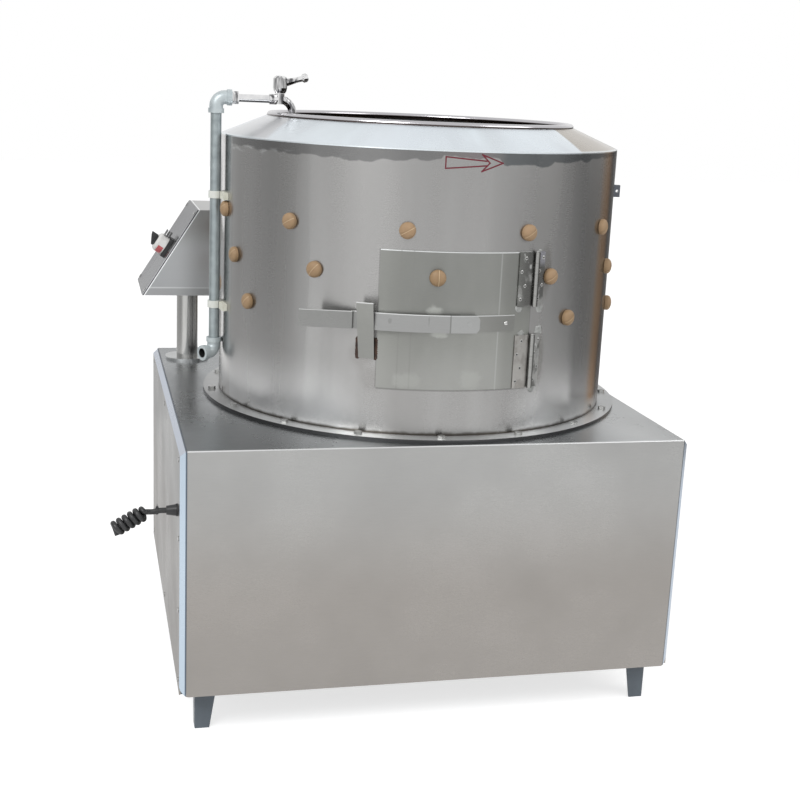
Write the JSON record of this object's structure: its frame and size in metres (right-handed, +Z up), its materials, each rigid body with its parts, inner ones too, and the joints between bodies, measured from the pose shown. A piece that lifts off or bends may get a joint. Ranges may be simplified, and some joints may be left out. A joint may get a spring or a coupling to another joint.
{
  "type": "drum poultry plucker",
  "caption": "Drum poultry plucker: fingered steel drum with hinged door and latch on a drive cabinet, turning finger plate, water tap, post-mounted control box and curly cord",
  "frame": {"origin": "On the floor, under the middle of the machine's box without the cord", "axes": "+Z up, -Y the front with the drum door, +X to the right as seen from the front"},
  "size_m": [1.0744, 0.8876, 1.1899],
  "materials": {
    "frame_paint": "satin grey paint",
    "cabinet_steel": "brushed stainless sheet",
    "drum_steel": "polished stainless sheet",
    "hinge_steel": "satin stainless",
    "bolt_zinc": "zinc plated",
    "shaft_steel": "ground steel",
    "cast_parts": "as cast",
    "motor_paint": "satin blue grey paint",
    "pipe_zinc": "galvanised",
    "tap_chrome": "polished",
    "clip_plastic": "matt cream",
    "finger_rubber": "matt tan",
    "belt_rubber": "matt black",
    "cord_rubber": "satin black",
    "black_plastic": "satin black",
    "white_plastic": "gloss white"
  },
  "bodies": {
    "cabinet": {"frame_posts": "frame_paint", "cross_rails": "frame_paint", "side_rails": "frame_paint", "bearing_beams": "frame_paint", "feet": "frame_paint", "front_top_panel": "cabinet_steel", "left_side_panel": "cabinet_steel", "right_side_panel": "cabinet_steel", "rear_panel": "cabinet_steel", "panel_screws": "bolt_zinc", "drum_shell": "drum_steel", "drum_flange": "drum_steel", "flange_bolts": "bolt_zinc", "cone_cover": "drum_steel", "rim_ring": "drum_steel", "lifting_lug": "drum_steel", "wall_fingers": "finger_rubber", "wall_hinge_leaves": "hinge_steel", "hinge_pins": "hinge_steel", "latch_keeper": "hinge_steel", "bearing_housing": "cast_parts", "upper_bearing": "shaft_steel", "lower_bearing": "shaft_steel", "drive_belts": "belt_rubber", "motor_body": "motor_paint", "motor_fan_cover": "motor_paint", "motor_plate": "frame_paint", "pan_wall": "cabinet_steel", "feather_pan": "cabinet_steel", "riser_pipe": "pipe_zinc", "lower_elbow": "pipe_zinc", "upper_elbow": "pipe_zinc", "pipe_clips": "clip_plastic", "tap_bush": "tap_chrome", "tap_pipe": "tap_chrome", "tap_body": "tap_chrome", "control_post": "cabinet_steel", "post_flange": "cabinet_steel", "control_box": "cabinet_steel", "control_cover": "cabinet_steel", "cover_screws": "bolt_zinc", "switch_base": "black_plastic", "switch_body": "white_plastic", "cord_gland": "black_plastic", "power_cord": "cord_rubber"},
    "rotor": {"feather_plate": "drum_steel", "plate_fingers": "finger_rubber", "plate_hub": "cast_parts", "main_shaft": "shaft_steel", "shaft_nut": "bolt_zinc", "driven_pulley": "cast_parts"},
    "motor_rotor": {"motor_pulley": "cast_parts", "motor_shaft": "shaft_steel"},
    "door": {"door_panel": "drum_steel", "door_finger": "finger_rubber", "door_hinge_leaves": "hinge_steel", "latch_pad": "hinge_steel"},
    "latch": {"latch_bar": "hinge_steel"},
    "tap_handle": {"tap_lever": "tap_chrome"},
    "knob": {"switch_knob": "black_plastic"}
  },
  "joints": [
    {"name": "plate_spin", "type": "hinge", "parent": "cabinet", "child": "rotor", "pos_m": [0.05108, -0.0008, 0.572], "axis": [0, 0, 1], "continuous": true},
    {"name": "motor_spin", "type": "hinge", "parent": "cabinet", "child": "motor_rotor", "pos_m": [-0.26892, -0.0008, 0.124], "axis": [0, 0, 1], "continuous": true},
    {"name": "door_hinge", "type": "hinge", "parent": "cabinet", "child": "door", "pos_m": [0.1851, -0.38563, 0.765], "axis": [0, 0, 1], "range_deg": [0, 110]},
    {"name": "latch_pivot", "type": "hinge", "parent": "door", "child": "latch", "pos_m": [0.05538, -0.41108, 0.763], "axis": [-0.0105, 0.9999, 0], "range_deg": [0, 18]},
    {"name": "tap_turn", "type": "hinge", "parent": "cabinet", "child": "tap_handle", "pos_m": [-0.2398, -0.02254, 1.15], "axis": [0, 0, 1], "range_deg": [0, 90]},
    {"name": "switch_turn", "type": "hinge", "parent": "cabinet", "child": "knob", "pos_m": [-0.46193, 0.2947, 0.81981], "axis": [-0.8444, 0, 0.5357], "range_deg": [-45, 45]}
  ],
  "couplings": [
    {"joint": "motor_spin", "follows": "plate_spin", "ratio": 4}
  ]
}
